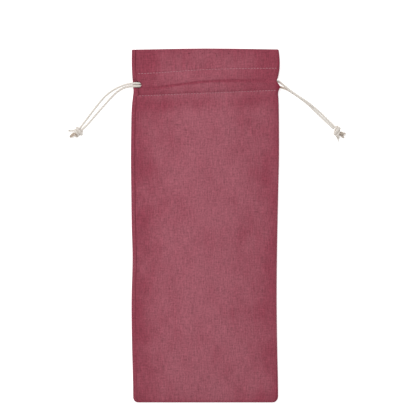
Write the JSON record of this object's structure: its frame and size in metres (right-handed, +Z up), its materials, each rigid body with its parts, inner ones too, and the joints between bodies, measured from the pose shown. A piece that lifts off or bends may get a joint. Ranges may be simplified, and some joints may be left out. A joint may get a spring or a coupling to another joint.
{
  "type": "drawstring wine bag",
  "caption": "Flat cotton drawstring bag for a bottle, with a stitched cord channel below its mouth and a knotted drawcord out of each side",
  "frame": {"origin": "middle of the bag's underside, on the surface that the empty bag lies on", "axes": "+X to the right as seen from the front, +Y along the bag from its bottom seam to its mouth, +Z up out of its front face"},
  "size_m": [0.2832, 0.36, 0.0132],
  "materials": {
    "cotton_cloth": "plain-weave cotton, matt, dusty burgundy",
    "sewing_thread": "polyester thread, slightly lighter than the cloth",
    "cotton_cord": "undyed twisted cotton cord, cream"
  },
  "bodies": {
    "bag": {"front_panel": "cotton_cloth", "back_panel": "cotton_cloth", "front_neck": "cotton_cloth", "back_neck": "cotton_cloth", "front_hem": "cotton_cloth", "back_hem": "cotton_cloth", "left_seam_allowance": "cotton_cloth", "right_seam_allowance": "cotton_cloth", "bottom_seam_allowance": "cotton_cloth", "left_slit_hem": "cotton_cloth", "right_slit_hem": "cotton_cloth", "left_seam_stitching": "sewing_thread", "right_seam_stitching": "sewing_thread", "bottom_seam_stitching": "sewing_thread", "left_overlock": "sewing_thread", "right_overlock": "sewing_thread", "bottom_overlock": "sewing_thread", "front_upper_stitching": "sewing_thread", "front_lower_stitching": "sewing_thread", "back_upper_stitching": "sewing_thread", "back_lower_stitching": "sewing_thread"},
    "left_drawcord": {"left_cord_run": "cotton_cord", "left_tail_front": "cotton_cord", "left_tail_back": "cotton_cord", "left_knot": "cotton_cord", "left_cord_ends": "cotton_cord"},
    "right_drawcord": {"right_cord_run": "cotton_cord", "right_tail_front": "cotton_cord", "right_tail_back": "cotton_cord", "right_knot": "cotton_cord", "right_cord_ends": "cotton_cord"}
  },
  "joints": [
    {"name": "left_cinch", "type": "slide", "parent": "bag", "child": "left_drawcord", "axis": [-1, 0, 0], "range_m": [0, 0.045], "deforming": ["front_neck", "back_neck", "front_hem", "back_hem", "left_slit_hem", "right_slit_hem"]},
    {"name": "right_cinch", "type": "slide", "parent": "bag", "child": "right_drawcord", "axis": [1, 0, 0], "range_m": [0, 0.045], "deforming": ["front_neck", "back_neck", "front_hem", "back_hem", "left_slit_hem", "right_slit_hem"]}
  ]
}
